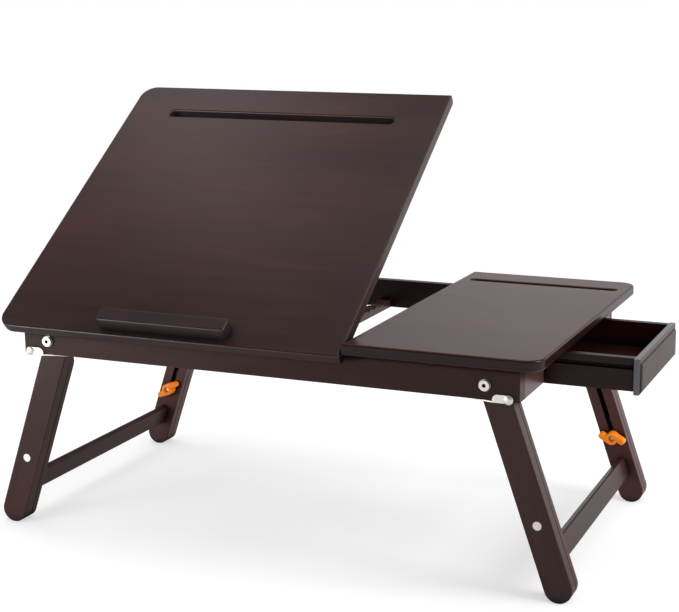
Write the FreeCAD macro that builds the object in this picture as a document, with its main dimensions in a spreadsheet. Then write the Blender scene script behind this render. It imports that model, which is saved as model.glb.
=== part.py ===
import FreeCAD, Part
import Sketcher
import math
import os
import re

# Folding bed-tray laptop stand: a frame on two folding leg frames, a tilting panel with a prop,
# a fixed panel and a drawer.  +X is to the right, +Y to the back, +Z up, and z = 0 is the floor.
# The model is drawn with x = 0 and y = 0 in the middle of the closed top; the files are written with
# the origin below the middle of the whole assembly, drawer open and panel raised.

DOC = FreeCAD.newDocument("laptop_stand_with_drawer")
SHEET = DOC.addObject("Spreadsheet::Sheet", "Sizes")
NODES = []

# ---------------------------------------------------------------- driving dimensions (mm, degrees)

DRIVING = {
    # top
    "top_width": 552, "top_depth": 361, "panel_thick": 11, "corner_radius": 17,
    "edge_round": 2, "under_round": 3.5, "fixed_width": 184.3, "seam_gap": 1.3,
    "tilt_angle": 36, "slot_wide": 9.5, "slot_inset": 43.7, "tilt_slot_long": 266, "fixed_slot_long": 161,
    "stop_long": 137, "stop_deep": 16, "stop_tall": 13, "stop_inset": 7.5, "stop_corner": 4,
    "stop_round": 2,
    # frame under the top
    "overhang_side": 21.8, "overhang_front": 13.2, "apron_tall": 30.6, "apron_thick": 15,
    "back_thick": 8.5, "left_thick": 8.2, "right_thick": 13, "apron_round": 6,
    "rail_wide": 12, "rail_tall": 8, "rail_middle": -3, "rail_end_room": 2.5,
    "notch_count": 5, "notch_pitch": 16, "notch_radius": 6, "notch_deep": 2,
    "carrier_wide": 12, "carrier_inset": 23,
    # panel hinges and prop
    "hinge_inset": 3.4, "knuckle_radius": 2.5, "leaf_thick": 1.2, "leaf_gap": 0.2,
    "barrel_room": 0.35, "knuckle_gap": 0.3,
    "hinge_long": 42, "leaf_deep": 9, "hinge_place": 66, "pin_radius": 1.2,
    "prop_reach": 140, "prop_long": 145, "prop_thick": 9, "prop_foot_gap": 0.3,
    "crossbar_deep": 30, "prop_knuckle": 1.9, "prop_leaf": 0.9, "prop_hinge_long": 30,
    "prop_hinge_place": 45, "prop_pin": 0.9, "prop_leaf_deep": 13,
    "foot_ease": 0.02,
    # legs
    "lean": 19, "leg_length": 197.5, "leg_width": 26.5, "outer_ply": 12.4, "inner_ply": 8.1,
    "ply_gap": 0.3, "leg_travel": 80, "pivot_drop": 13.3, "spacer_thick": 1.1, "stop_gap": 0.3,
    "clamp_reach": 136.6, "lower_leg_top": 16, "key_long": 16, "key_gap": 0.2,
    "key_room": 3, "slot_end_room": 0.6,
    "stretcher_top": 160.5, "stretcher_wide": 21.5, "stretcher_thick": 8,
    "tenon_wide": 14, "tenon_thick": 4.5, "tenon_long": 5.4, "mortise_room": 0.1, "leg_edge_round": 1,
    # fasteners
    "pivot_bolt": 6, "clamp_bolt": 5, "bolt_fit": 0.1, "pivot_head": 9.5, "pivot_head_tall": 2.3,
    "socket_wide": 3.6, "socket_deep": 3.2, "washer_wide": 11, "washer_thick": 1,
    "pivot_nut_wide": 10.6, "pivot_nut_deep": 5, "nut_room": 0.3, "nut_inset": 0.2,
    "clamp_head": 8.2, "clamp_head_in": 1.5, "clamp_head_out": 0.6, "clamp_head_room": 0.2,
    "clamp_seat": 2, "wing_hub": 13, "wing_ear_wide": 6.4, "wing_ear_far": 10.6,
    "wing_ear_low": 2, "wing_tall": 11, "wing_round": 1.6, "wing_mouth": 6.8, "wing_mouth_deep": 4.6,
    "wing_back": 0.15, "bolt_end_up": 7.5,
    "wing_turn_left_front": 72, "wing_turn_left_back": -18.5,
    "wing_turn_right_front": 28.3, "wing_turn_right_back": 28.3,
    # drawer
    "opening_front_room": 34.9, "opening_back_room": 69.9, "drawer_out": 88.3, "drawer_wall": 7,
    "drawer_top_gap": 1.2, "drawer_hang": 1.2, "drawer_side_gap": 3.5,
    "front_gap": 0.5, "front_thick": 5.6, "front_lip": 3.6, "front_round": 1,
    "field_thick": 1.6, "field_bevel": 1.1, "field_margin": 3.4, "field_below": 5.2,
    "divider_thick": 10, "divider_end_room": 15.2, "drawer_end_gap": 0.8,
    "groove_below": 6.4, "groove_tall": 4.6, "groove_deep": 3, "guide_gap": 0.3,
    "bottom_thick": 3, "bottom_rise": 3, "bottom_let_in": 3.5, "bottom_room": 0.1,
    "runner_board": 8,
    # leg latches
    "latch_out_left": 6.2, "latch_out_right": 10, "latch_rise": 2.1, "latch_thick": 1.2,
    "latch_gap": 0.2, "latch_eye": 4.2, "latch_plate": 15, "latch_tall": 7.4, "latch_round": 5,
    "latch_long": 48, "flange_near": 9, "flange_far": 4.5,
    "flange_front": 12, "flange_back": 9.2,
    "rivet_radius": 1.2, "rivet_fit": 0.02, "rivet_head": 4.4, "rivet_dome": 1.5,
}

# Sizes worked out from the driving ones, as sheet formulas in the order in which they are needed.
DERIVED = {
    "pivot_z": "leg_width / 2 + leg_length * cos(lean)",
    "frame_z": "pivot_z - pivot_drop",
    "deck_z": "frame_z + apron_tall",
    "frame_x": "top_width / 2 - overhang_side",
    "frame_y": "top_depth / 2 - overhang_front",
    "apron_in": "frame_y - apron_thick",
    "frame_back": "apron_in + back_thick",
    "left_in": "frame_x - left_thick",
    "right_in": "frame_x - right_thick",
    "pivot_room": "stop_gap + pivot_drop * tan(lean) + leg_width / 2 / cos(lean)",
    "pivot_left": "left_in - pivot_room",
    "pivot_right": "right_in - pivot_room",
    "leg_out": "apron_in - spacer_thick",
    "upper_ply_y": "leg_out - outer_ply / 2",
    "lower_ply_y": "leg_out - outer_ply - ply_gap - inner_ply / 2",
    "leg_in": "lower_ply_y - inner_ply / 2",
    "seam_x": "top_width / 2 - fixed_width",
    "tilt_right": "seam_x - seam_gap",
    "tilt_middle": "(tilt_right - top_width / 2) / 2",
    "hinge_y": "-frame_y + hinge_inset",
    "panel_front": "-(top_depth / 2 + hinge_y)",
    "panel_back": "top_depth / 2 - hinge_y",
    "leaf_root": "knuckle_radius + knuckle_gap",
    "rail_top": "frame_z + rail_tall",
    "rail_half": "leg_in - rail_end_room",
    "side_rail_x": "2 * tilt_middle - rail_middle",
    "prop_axis_down": "prop_knuckle + knuckle_gap",
    "prop_face_down": "2 * prop_leaf + leaf_gap",
    "prop_core": "prop_face_down + prop_thick / 2 - prop_axis_down",
    "prop_swing": "sqrt(prop_long ^ 2 + prop_core ^ 2)",
    "prop_y": "hinge_y + prop_reach * cos(tilt_angle) + prop_axis_down * sin(tilt_angle)",
    "prop_z": "deck_z + prop_reach * sin(tilt_angle) - prop_axis_down * cos(tilt_angle)",
    "foot_z": "rail_top + prop_thick / 2 + prop_foot_gap",
    "prop_slope": "atan(prop_core / prop_long) + asin((foot_z - prop_z) / prop_swing)",
    "foot_y": "prop_y + prop_long * cos(prop_slope) + prop_core * sin(prop_slope)",
    "slot_bottom": "clamp_reach + clamp_bolt / 2 + slot_end_room",
    "key_bottom": "clamp_reach - clamp_bolt / 2 - key_room",
    "slot_top": "key_bottom - key_long - leg_travel - slot_end_room",
    "leg_slot": "clamp_bolt + 2 * key_gap",
    "opening_front": "opening_front_room - leg_in",
    "opening_back": "leg_in - opening_back_room",
    "divider_x": "seam_x + divider_thick",
    "divider_half": "leg_in - divider_end_room",
    "drawer_front_y": "opening_front + drawer_side_gap",
    "drawer_back_y": "opening_back - drawer_side_gap",
    "drawer_in_x": "divider_x + drawer_end_gap",
    "front_in_x": "frame_x - front_thick",
    "drawer_low": "frame_z - drawer_hang",
    "drawer_high": "deck_z - drawer_top_gap",
    "groove_top": "drawer_high - groove_below",
    "latch_left": "frame_x - latch_out_left",
    "latch_right": "frame_x - latch_out_right",
    "latch_z": "frame_z + latch_rise",
    "rivet_ball": "(rivet_head ^ 2 + rivet_dome ^ 2) / (2 * rivet_dome)",
    "drawer_far_x": "frame_x + drawer_out + field_thick",
    "leg_far_x": "-(pivot_left + leg_length * sin(lean) + leg_width / 2)",
    "panel_low_y": "hinge_y + panel_front * cos(tilt_angle) - panel_thick * sin(tilt_angle)",
    "origin_x": "(drawer_far_x + leg_far_x) / 2",
    "origin_y": "(top_depth / 2 + panel_low_y) / 2",
}


def fill_sheet():
    for row, (alias, value) in enumerate({**DRIVING, **DERIVED}.items(), start=1):
        text = str(value) if alias in DRIVING else "=" + value
        SHEET.set(f"A{row}", alias)
        SHEET.set(f"B{row}", text)
        SHEET.setAlias(f"B{row}", alias)
    DOC.recompute()


def sheet_text(expression):
    """An expression that names sizes by their bare aliases, with the sheet's name put before each."""
    names = set(DRIVING) | set(DERIVED)
    return re.sub(r"[a-z]\w*", lambda m: f"Sizes.{m[0]}" if m[0] in names else m[0], expression)


def size(expression):
    """The number that an expression of sheet sizes comes to."""
    if isinstance(expression, (int, float)):
        return float(expression)
    value = SHEET.evalExpression(sheet_text(expression))
    return float(getattr(value, "Value", value))


def bind(item, prop, expression):
    """Ties a property to sheet sizes; a plain number is written as it is."""
    item.setExpression(prop, sheet_text(str(expression)))


def place(item, x=0, y=0, z=0, turn=None, axis=(1, 0, 0)):
    """Puts an item at (x, y, z), turned by an angle in degrees about an axis through its own origin."""
    angle = size(turn) if turn is not None else 0.0
    spot = FreeCAD.Vector(size(x), size(y), size(z))
    item.Placement = FreeCAD.Placement(spot, FreeCAD.Rotation(FreeCAD.Vector(*axis), angle))
    bind(item, "Placement.Base.x", x)
    bind(item, "Placement.Base.y", y)
    bind(item, "Placement.Base.z", z)
    if turn is not None:
        bind(item, "Placement.Rotation.Angle", f"({turn}) * 1 deg")


def on_panel(item):
    """Places what is modelled in the tilting panel's own frame: origin on the hinge axis, closed flat."""
    place(item, 0, "hinge_y", "deck_z", turn="tilt_angle")


def on_prop(item):
    """Places what is modelled in the prop's own frame: origin on its hinge axis, lying along +Y."""
    place(item, 0, "prop_y", "prop_z", turn="prop_slope")


def node(item, label):
    item.Label = label
    NODES.append(item)
    return item


# ---------------------------------------------------------------- PartDesign helpers

def new_body(label):
    body = DOC.addObject("PartDesign::Body", "Body_" + label)
    return node(body, label)


def new_sketch(body, plane, offset=None):
    """A sketch on one of the body's own origin planes, moved along the plane's normal by an offset."""
    sketch = body.newObject("Sketcher::SketchObject", "Sketch")
    support = next(f for f in body.Origin.OriginFeatures if f.Role == plane)
    sketch.AttachmentSupport = [(support, "")]
    sketch.MapMode = "FlatFace"
    if offset is not None:
        bind(sketch, "AttachmentOffset.Base.z", offset)
    return sketch


def pin_point(sketch, geometry, end, x, y):
    """Holds one point of a sketch at (x, y), both expressions of sheet sizes."""
    for kind, value in (("DistanceX", x), ("DistanceY", y)):
        constraint = Sketcher.Constraint(kind, -1, 1, geometry, end, size(value))
        index = sketch.addConstraint(constraint)
        bind(sketch, f"Constraints[{index}]", value)


def polygon(sketch, points):
    """A closed outline of straight lines whose corners are pairs of expressions."""
    spots = [FreeCAD.Vector(size(x), size(y), 0) for x, y in points]
    lines = []
    for start, end in zip(spots, spots[1:] + spots[:1]):
        lines.append(sketch.addGeometry(Part.LineSegment(start, end)))
    for this, following in zip(lines, lines[1:] + lines[:1]):
        sketch.addConstraint(Sketcher.Constraint("Coincident", this, 2, following, 1))
    for line, (x, y) in zip(lines, points):
        pin_point(sketch, line, 1, x, y)


def rectangle(sketch, left, bottom, right, top):
    polygon(sketch, [(left, bottom), (right, bottom), (right, top), (left, top)])


def circle(sketch, x, y, radius):
    centre = FreeCAD.Vector(size(x), size(y), 0)
    ring = sketch.addGeometry(Part.Circle(centre, FreeCAD.Vector(0, 0, 1), size(radius)))
    pin_point(sketch, ring, 3, x, y)
    index = sketch.addConstraint(Sketcher.Constraint("Radius", ring, size(radius)))
    bind(sketch, f"Constraints[{index}]", radius)


def obround(sketch, first, second, radius):
    """A slot outline round two centres, which lie side by side or one above the other."""
    (ax, ay), (bx, by) = [(size(x), size(y)) for x, y in (first, second)]
    reach = size(radius)
    heading = math.atan2(by - ay, bx - ax)
    side = FreeCAD.Vector(-math.sin(heading), math.cos(heading), 0) * reach
    start, end = FreeCAD.Vector(ax, ay, 0), FreeCAD.Vector(bx, by, 0)
    up = FreeCAD.Vector(0, 0, 1)
    quarter = math.pi / 2
    far = Part.ArcOfCircle(Part.Circle(end, up, reach), heading - quarter, heading + quarter)
    near = Part.ArcOfCircle(Part.Circle(start, up, reach), heading + quarter, heading + 3 * quarter)
    pieces = [Part.LineSegment(start - side, end - side), far,
              Part.LineSegment(end + side, start + side), near]
    low, right, high, left = [sketch.addGeometry(piece) for piece in pieces]
    for one, one_end, two, two_end in ((low, 2, right, 1), (right, 2, high, 1),
                                       (high, 2, left, 1), (left, 2, low, 1)):
        sketch.addConstraint(Sketcher.Constraint("Tangent", one, one_end, two, two_end))
    sketch.addConstraint(Sketcher.Constraint("Equal", right, left))
    pin_point(sketch, left, 3, *first)
    pin_point(sketch, right, 3, *second)
    index = sketch.addConstraint(Sketcher.Constraint("Radius", left, reach))
    bind(sketch, f"Constraints[{index}]", radius)


def pad(body, sketch, length, middle=False, back=False):
    """Adds the sketch's outline as a solid: up its normal, down it, or half each way."""
    feature = body.newObject("PartDesign::Pad", "Pad")
    feature.Profile = sketch
    feature.Midplane = middle
    feature.Reversed = back
    bind(feature, "Length", length)
    DOC.recompute()
    return feature


def pocket(body, sketch, depth):
    """Cuts the sketch's outline to a depth on both sides of its plane, so it enters from a face."""
    before = body.Shape.Volume
    feature = body.newObject("PartDesign::Pocket", "Pocket")
    feature.Profile = sketch
    feature.Midplane = True
    bind(feature, "Length", f"2 * ({depth})")
    DOC.recompute()
    if body.Shape.Volume > before - 0.5:
        raise RuntimeError(f"a pocket in {body.Label} cuts nothing")
    return feature


def edges_of(body, wanted):
    """The names of the tip's edges for which wanted(edge) holds."""
    return [f"Edge{n}" for n, edge in enumerate(body.Tip.Shape.Edges, start=1) if wanted(edge)]


def direction(edge):
    """The index of the axis that a straight edge runs along, or None."""
    if edge.Curve.TypeId != "Part::GeomLine":
        return None
    along = edge.tangentAt(edge.FirstParameter)
    parts = [abs(along.x), abs(along.y), abs(along.z)]
    return parts.index(max(parts)) if max(parts) > 0.999 else None


def dress(body, kind, wanted, amount):
    """Rounds (Fillet) or bevels (Chamfer) the tip's chosen edges."""
    names = edges_of(body, wanted)
    if not names:
        raise RuntimeError(f"no edge of {body.Label} to dress")
    feature = body.newObject("PartDesign::" + kind, kind)
    feature.Base = (body.Tip if body.Tip is not feature else feature.BaseFeature, names)
    bind(feature, "Radius" if kind == "Fillet" else "Size", amount)
    body.Tip = feature
    DOC.recompute()
    return feature


def at_height(edge, z):
    return all(abs(v.Point.z - z) < 1e-4 for v in edge.Vertexes)


def ordered(sign, near, far, low, high):
    """The corners of a rectangle that reaches from near to far on the side of x that sign gives."""
    left, right = (near, far) if sign > 0 else (f"-({far})", f"-({near})")
    return left, low, right, high


# ---------------------------------------------------------------- primitive helpers

def box(x0, x1, y0, y1, z0, z1):
    """A Part::Box between two corners, each coordinate an expression."""
    item = DOC.addObject("Part::Box", "Box")
    for prop, low, high in (("Length", x0, x1), ("Width", y0, y1), ("Height", z0, z1)):
        bind(item, prop, f"({high}) - ({low})")
    place(item, x0, y0, z0)
    return item


TURNS = {"x": ((0, 1, 0), 90), "y": ((1, 0, 0), -90), "z": ((0, 0, 1), 0)}


def rod(along, x, y, z, radius, length):
    """A Part::Cylinder from (x, y, z) that runs a length up the named axis."""
    item = DOC.addObject("Part::Cylinder", "Rod")
    bind(item, "Radius", radius)
    bind(item, "Height", length)
    axis, angle = TURNS[along]
    place(item, x, y, z, turn=angle, axis=axis)
    return item


def fuse(*items):
    if len(items) == 1:
        return items[0]
    joined = DOC.addObject("Part::MultiFuse", "Fuse")
    joined.Shapes = list(items)
    joined.Refine = True
    return joined


def cut(base, *tools):
    item = DOC.addObject("Part::Cut", "Cut")
    item.Base = base
    item.Tool = fuse(*tools)
    return item


def group(items):
    """Identical loose pieces that share one node, kept as separate solids."""
    item = DOC.addObject("Part::Compound", "Group")
    item.Links = list(items)
    return item


# ---------------------------------------------------------------- top

def panel(label, left, right, front, back, outer_x, slot_long):
    """A board with rounded outer corners, eased edges and a device slot near its back edge."""
    body = new_body(label)
    outline = new_sketch(body, "XY_Plane")
    rectangle(outline, left, front, right, back)
    pad(body, outline, "panel_thick")
    rounded = size(outer_x)
    dress(body, "Fillet", lambda e: direction(e) == 2 and abs(e.Vertexes[0].X - rounded) < 1e-4,
          "corner_radius")
    slot = new_sketch(body, "XY_Plane", "panel_thick")
    middle = f"(({left}) + ({right})) / 2"
    reach = f"({slot_long} - slot_wide) / 2"
    line_y = f"({back}) - slot_inset"
    obround(slot, (f"{middle} - {reach}", line_y), (f"{middle} + {reach}", line_y),
            "slot_wide / 2")
    pocket(body, slot, "panel_thick + 1")
    thick = size("panel_thick")
    dress(body, "Fillet", lambda e: at_height(e, thick), "edge_round")
    ends = (size(front), size(back))

    def outside(v):
        return abs(v.X - rounded) < 1e-4 or min(abs(v.Y - y) for y in ends) < 1e-4

    dress(body, "Fillet", lambda e: at_height(e, 0) and all(outside(v) for v in e.Vertexes)
          and (direction(e) != 1 or abs(e.Vertexes[0].X - rounded) < 1e-4), "under_round")
    return body


def top_panels():
    tilting = panel("tilting_panel", "-top_width / 2", "tilt_right", "panel_front", "panel_back",
                    "-top_width / 2", "tilt_slot_long")
    cut_hinge_seats(tilting, "panel")
    on_panel(tilting)
    fixed = panel("fixed_panel", "seam_x", "top_width / 2", "-top_depth / 2", "top_depth / 2",
                  "top_width / 2", "fixed_slot_long")
    place(fixed, z="deck_z")


def stop_bar():
    """The ledge near the tilting panel's front edge that keeps a laptop from sliding off."""
    body = new_body("stop_bar")
    outline = new_sketch(body, "XY_Plane", "panel_thick")
    front = "(panel_front + stop_inset)"
    rectangle(outline, "tilt_middle - stop_long / 2", front,
              "tilt_middle + stop_long / 2", f"{front} + stop_deep")
    pad(body, outline, "stop_tall")
    dress(body, "Fillet", lambda e: direction(e) == 2, "stop_corner")
    top = size("panel_thick + stop_tall")
    dress(body, "Fillet", lambda e: at_height(e, top), "stop_round")
    on_panel(body)


HINGES = {"left": "-top_width / 2 + hinge_place", "right": "tilt_right - hinge_place"}


def cut_hinge_seats(body, side):
    """Lets the panel hinges' leaves and knuckles into a board; the axis is the local x axis there."""
    axis_y, axis_z = ("0", "0") if side == "panel" else ("hinge_y", "deck_z")
    up = 1 if side == "panel" else -1
    for x in HINGES.values():
        leaf = new_sketch(body, "YZ_Plane", x)
        deep = f"{axis_z} + {up} * (leaf_thick + leaf_gap)"
        skin = f"{axis_z} - {up} * 1"
        far = f"{axis_y} + leaf_root + leaf_deep + leaf_gap"
        polygon(leaf, [(axis_y, skin), (far, skin), (far, deep), (axis_y, deep)])
        pocket(body, leaf, "hinge_long / 2 + leaf_gap")
        barrel = new_sketch(body, "YZ_Plane", x)
        circle(barrel, axis_y, axis_z, "knuckle_radius + barrel_room")
        pocket(body, barrel, "hinge_long / 2 + leaf_gap")


def hinge_leaf(x, long, ends, radius, pin, root, deep, low, high):
    """A leaf of a hinge whose axis runs along x through the origin.

    Its plate reaches to +Y between two heights; it has the two end knuckles or the middle one."""
    start, third = f"{x} - {long} / 2", f"{long} / 3"
    spans = [(start, f"{third} - knuckle_gap / 2"),
             (f"{start} + 2 * {third} + knuckle_gap / 2", f"{third} - knuckle_gap / 2")]
    if not ends:
        spans = [(f"{start} + {third} + knuckle_gap / 2", f"{third} - knuckle_gap")]
    parts = [box(start, f"{start} + {long}", root, f"{root} + {deep}", low, high)]
    for near, wide in spans:
        parts.append(rod("x", near, 0, 0, radius, wide))
        parts.append(box(near, f"{near} + {wide}", 0, root, low, high))
    hole = rod("x", f"{start} - 1", 0, 0, f"{pin} + bolt_fit / 2", f"{long} + 2")
    return cut(fuse(*parts), hole)


def panel_hinges():
    """Two butt hinges: their fixed leaves in the front apron, their moving ones in the panel."""
    measures = ("knuckle_radius", "pin_radius", "leaf_root", "leaf_deep")
    near, far = "leaf_gap / 2", "leaf_gap / 2 + leaf_thick"
    fixed = group([hinge_leaf(x, "hinge_long", True, *measures, f"-({far})", f"-({near})")
                   for x in HINGES.values()])
    place(fixed, 0, "hinge_y", "deck_z")
    node(fixed, "panel_hinge_fixed_leaves")
    moving = group([hinge_leaf(x, "hinge_long", False, *measures, near, far)
                    for x in HINGES.values()])
    on_panel(moving)
    node(moving, "panel_hinge_moving_leaves")
    pins = group([rod("x", f"{x} - hinge_long / 2", 0, 0, "pin_radius", "hinge_long")
                  for x in HINGES.values()])
    place(pins, 0, "hinge_y", "deck_z")
    node(pins, "panel_hinge_pins")


# ---------------------------------------------------------------- frame

FACES = {-1: "frame_y", 1: "frame_back"}
PIVOTS = {-1: "-pivot_left", 1: "pivot_right"}
LATCHES = {-1: "-latch_left", 1: "latch_right"}
FLANGES = {-1: "flange_front", 1: "flange_back"}


def long_apron(label, sign):
    """A front or back apron; the front one's top edge is rounded off so that the panel can tilt."""
    body = new_body(label)
    outline = new_sketch(body, "XY_Plane", "frame_z")
    outer, inner = f"{sign} * {FACES[sign]}", f"{sign} * apron_in"
    low, high = (outer, inner) if sign < 0 else (inner, outer)
    rectangle(outline, "-frame_x", low, "frame_x", high)
    pad(body, outline, "apron_tall")
    top, face = size("deck_z"), size(outer)
    if sign < 0:
        dress(body, "Fillet", lambda e: direction(e) == 0 and at_height(e, top)
              and abs(e.Vertexes[0].Y - face) < 1e-4, "apron_round")
    holes = new_sketch(body, "XZ_Plane", f"-({outer})")
    for side in (-1, 1):
        circle(holes, PIVOTS[side], "pivot_z", "pivot_bolt / 2 + bolt_fit")
    pocket(body, holes, "apron_thick + 1")
    rivets = new_sketch(body, "XZ_Plane", f"-({outer})")
    for side in (-1, 1):
        circle(rivets, LATCHES[side], "latch_z", "rivet_radius")
    pocket(body, rivets, "back_thick / 2 + 1")
    if sign < 0:
        cut_hinge_seats(body, "apron")


def board(label, x0, x1, y0, y1, z0, z1):
    """A plain rectangular board made as a padded sketch."""
    body = new_body(label)
    outline = new_sketch(body, "XY_Plane", z0)
    rectangle(outline, x0, y0, x1, y1)
    pad(body, outline, f"({z1}) - ({z0})")
    return body


def frame_boards():
    for label, sign in (("front_apron", -1), ("back_apron", 1)):
        long_apron(label, sign)
    board("left_apron", "-frame_x", "-left_in", "-apron_in", "apron_in", "frame_z", "deck_z")
    board("right_apron_front_part", "right_in", "frame_x", "-apron_in", "opening_front",
          "frame_z", "deck_z")
    board("right_apron_back_part", "right_in", "frame_x", "opening_back", "apron_in",
          "frame_z", "deck_z")
    board("drawer_divider", "seam_x", "divider_x", "-divider_half", "divider_half",
          "frame_z", "deck_z")


def notched_rail(label, middle, half):
    """A rail with a row of shallow seats on top for the prop's feet."""
    body = new_body(label)
    outline = new_sketch(body, "YZ_Plane", middle)
    rectangle(outline, f"-({half})", "frame_z", half, "rail_top")
    pad(body, outline, "rail_wide", middle=True)
    seat = new_sketch(body, "YZ_Plane", middle)
    circle(seat, "foot_y", "rail_top + notch_radius - notch_deep", "notch_radius")
    first = pocket(body, seat, "rail_wide / 2 + 1")
    row = body.newObject("PartDesign::LinearPattern", "Seats")
    row.Originals = [first]
    row.Direction = (seat, ["H_Axis"])
    row.Mode = "Spacing"
    bind(row, "Offset", "notch_pitch")
    bind(row, "Occurrences", "notch_count")
    body.Tip = row
    DOC.recompute()


def rails():
    notched_rail("centre_rail", "rail_middle", "apron_in")
    notched_rail("side_rail", "side_rail_x", "rail_half")
    middle = "(rail_half - carrier_inset)"
    blocks = [box("-left_in", "side_rail_x - rail_wide / 2", f"{sign} * {middle} - carrier_wide / 2",
                  f"{sign} * {middle} + carrier_wide / 2", "frame_z", "rail_top")
              for sign in (-1, 1)]
    node(group(blocks), "side_rail_carriers")


def drawer_runners():
    """Boards beside the drawer, with a hardwood guide strip on each that runs in the drawer's groove."""
    for place_name, edge, sign in (("front", "opening_front", 1), ("back", "opening_back", -1)):
        outer = f"{edge} - {sign} * runner_board"
        low, high = (outer, edge) if sign > 0 else (edge, outer)
        board(f"runner_board_{place_name}", "divider_x", "right_in", low, high, "frame_z", "deck_z")
        tip = f"{edge} + {sign} * (drawer_side_gap + groove_deep - guide_gap * 2)"
        low, high = (edge, tip) if sign > 0 else (tip, edge)
        board(f"drawer_guide_{place_name}", "divider_x", "right_in", low, high,
              "groove_top - groove_tall + guide_gap", "groove_top - guide_gap")


# ---------------------------------------------------------------- prop

def prop_frame():
    """The U-shaped prop: two arms with rounded feet, joined at the top by a crossbar."""
    top, low = "prop_axis_down - prop_face_down", "prop_axis_down - prop_face_down - prop_thick"
    for label, middle in (("prop_arm_left", "side_rail_x"), ("prop_arm_right", "rail_middle")):
        body = new_body(label)
        outline = new_sketch(body, "YZ_Plane", middle)
        rectangle(outline, "leaf_root", low, "prop_long + prop_thick / 2", top)
        pad(body, outline, "rail_wide", middle=True)
        foot = size("prop_long + prop_thick / 2")
        dress(body, "Fillet", lambda e: direction(e) == 0 and abs(e.Vertexes[0].Y - foot) < 1e-4,
              "prop_thick / 2 - foot_ease")
        on_prop(body)
    bar = board("prop_crossbar", "side_rail_x + rail_wide / 2", "rail_middle - rail_wide / 2",
                "leaf_root", "leaf_root + crossbar_deep", low, top)
    on_prop(bar)


def prop_hinges():
    """Two small butt hinges between the panel's underside and the prop's crossbar."""
    spots = [f"tilt_middle {sign} prop_hinge_place" for sign in ("-", "+")]
    measures = ("prop_knuckle", "prop_pin", "leaf_root", "prop_leaf_deep")
    crossbar_top = "prop_axis_down - prop_face_down"
    fixed = group([hinge_leaf(x, "prop_hinge_long", True, *measures, "prop_axis_down - prop_leaf",
                              "prop_axis_down") for x in spots])
    place(fixed, 0, "prop_y", "prop_z", turn="tilt_angle")
    node(fixed, "prop_hinge_fixed_leaves")
    moving = group([hinge_leaf(x, "prop_hinge_long", False, *measures, crossbar_top,
                               f"{crossbar_top} + prop_leaf") for x in spots])
    on_prop(moving)
    node(moving, "prop_hinge_moving_leaves")
    pins = group([rod("x", f"{x} - prop_hinge_long / 2", 0, 0, "prop_pin", "prop_hinge_long")
                  for x in spots])
    place(pins, 0, "prop_y", "prop_z", turn="tilt_angle")
    node(pins, "prop_hinge_pins")


# ---------------------------------------------------------------- legs

SIDES = {"left": -1, "right": 1}
ENDS = {"front": -1, "back": 1}


def lean_leg(item, side, y="0"):
    """Places what is modelled down the -Z axis from the leg's pivot."""
    place(item, PIVOTS[side], y, "pivot_z", turn=f"-1 * {side} * lean", axis=(0, 1, 0))


def ease_leg(body, thick):
    """Takes the sharpness off a ply's outline on both faces."""
    half = size(thick) / 2
    width = size("leg_width / 2")
    dress(body, "Fillet", lambda e: all(abs(abs(v.Y) - half) < 1e-4 for v in e.Vertexes)
          and max(abs(v.X) for v in e.Vertexes) > width - 1e-3, "leg_edge_round")


def upper_leg(side_name, side, end_name, end):
    """The outer ply, which swings on the pivot bolt and carries the clamp bolt and a guide key."""
    body = new_body(f"upper_leg_{side_name}_{end_name}")
    outline = new_sketch(body, "XZ_Plane")
    obround(outline, ("0", "0"), ("0", "-leg_length"), "leg_width / 2")
    pad(body, outline, "outer_ply", middle=True)
    ease_leg(body, "outer_ply")
    key = new_sketch(body, "XZ_Plane", f"{end} * outer_ply / 2")
    obround(key, ("0", "-(key_bottom - key_long + clamp_bolt / 2)"),
            ("0", "-(key_bottom - clamp_bolt / 2)"), "clamp_bolt / 2")
    pad(body, key, "ply_gap + inner_ply / 2", back=end < 0)
    holes = new_sketch(body, "XZ_Plane")
    circle(holes, "0", "0", "pivot_bolt / 2 + bolt_fit")
    circle(holes, "0", "-clamp_reach", "clamp_bolt / 2 + bolt_fit")
    pocket(body, holes, "outer_ply")
    nut_seat = new_sketch(body, "XZ_Plane", f"{end} * outer_ply / 2")
    circle(nut_seat, "0", "0", "pivot_nut_wide / 2 + nut_room")
    pocket(body, nut_seat, "pivot_nut_deep + nut_room")
    head_seat = new_sketch(body, "XZ_Plane", f"-({end}) * outer_ply / 2")
    circle(head_seat, "0", "-clamp_reach", "clamp_head / 2 + clamp_head_room")
    pocket(body, head_seat, "clamp_seat")
    lean_leg(body, side, f"{end} * upper_ply_y")


def lower_leg(side_name, side, end_name, end):
    """The inner ply, which slides down the outer one: a long slot clears the clamp bolt and the key."""
    body = new_body(f"lower_leg_{side_name}_{end_name}")
    outline = new_sketch(body, "XZ_Plane")
    obround(outline, ("0", "-(lower_leg_top + leg_width / 2)"), ("0", "-leg_length"),
            "leg_width / 2")
    pad(body, outline, "inner_ply", middle=True)
    ease_leg(body, "inner_ply")
    slot = new_sketch(body, "XZ_Plane")
    obround(slot, ("0", "-(slot_top + leg_slot / 2)"), ("0", "-(slot_bottom - leg_slot / 2)"),
            "leg_slot / 2")
    pocket(body, slot, "inner_ply")
    mortise = new_sketch(body, "XZ_Plane", f"{end} * inner_ply / 2")
    middle = "(stretcher_top + stretcher_wide / 2)"
    rectangle(mortise, "-tenon_thick / 2 - mortise_room",
              f"-{middle} - tenon_wide / 2 - mortise_room", "tenon_thick / 2 + mortise_room",
              f"-{middle} + tenon_wide / 2 + mortise_room")
    pocket(body, mortise, "tenon_long + mortise_room")
    lean_leg(body, side, f"{end} * lower_ply_y")


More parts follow.
